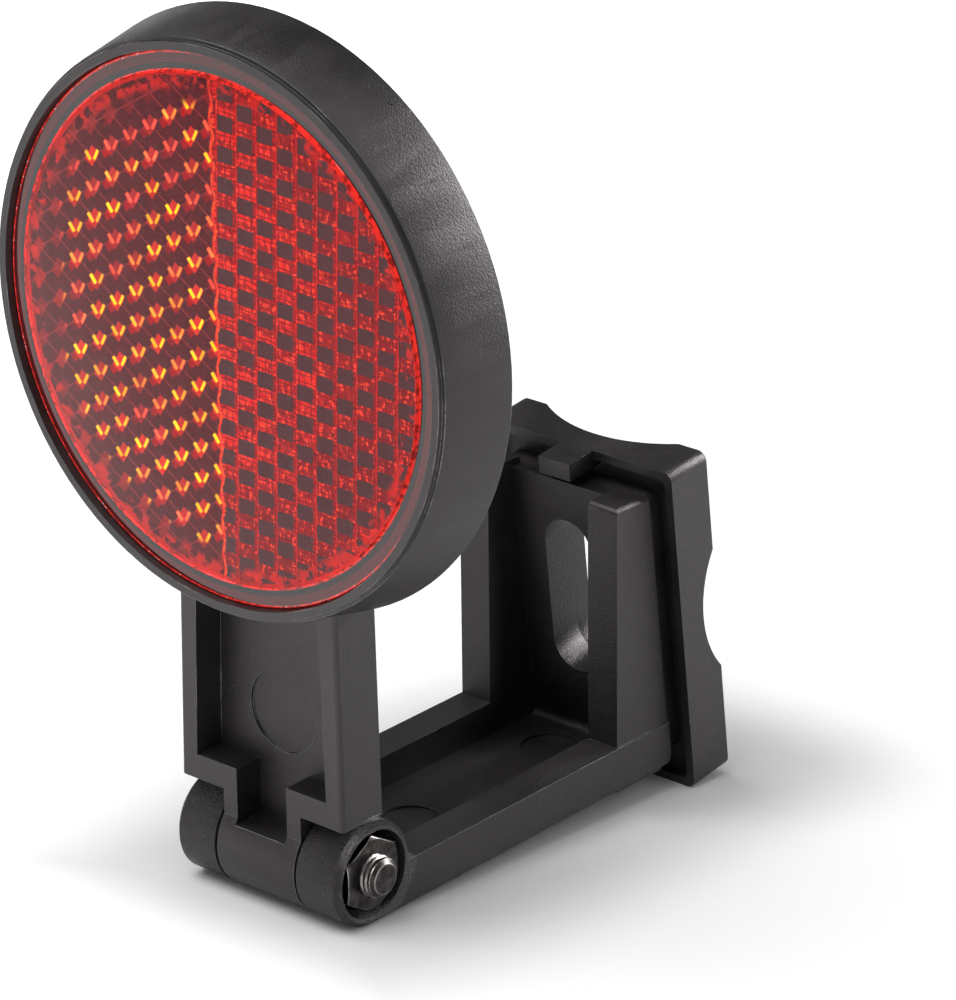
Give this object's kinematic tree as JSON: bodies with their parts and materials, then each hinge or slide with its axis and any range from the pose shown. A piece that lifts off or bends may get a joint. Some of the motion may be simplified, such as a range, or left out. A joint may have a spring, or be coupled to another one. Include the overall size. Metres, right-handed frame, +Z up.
{
  "type": "bicycle rear reflector",
  "caption": "Round red reflector in a black housing on a hinged stem, carried by an L-shaped arm with a slotted saddle for a seat post.",
  "frame": {"origin": "on the arm's flat underside, in the middle plane, halfway between the hinge and the seat post end", "axes": "+Z up, +X along the hinge towards the nut, -Y the way the lens faces, +Y towards the seat post"},
  "size_m": [0.0584, 0.0618, 0.0926],
  "materials": {
    "black_plastic": "satin moulded black plastic",
    "dark_steel": "dark plated steel",
    "red_lens": "clear red prismatic plastic"
  },
  "bodies": {
    "bracket": {"bracket_arm": "black_plastic", "saddle_block": "black_plastic", "pivot_bolt": "dark_steel", "pivot_nut": "dark_steel"},
    "reflector": {"reflector_housing": "black_plastic", "reflector_lens": "red_lens"}
  },
  "joints": [
    {"name": "reflector_tilt", "type": "hinge", "parent": "bracket", "child": "reflector", "pos_m": [0, -0.02, 0.00535], "axis": [1, 0, 0], "range_deg": [-50, 90]}
  ]
}
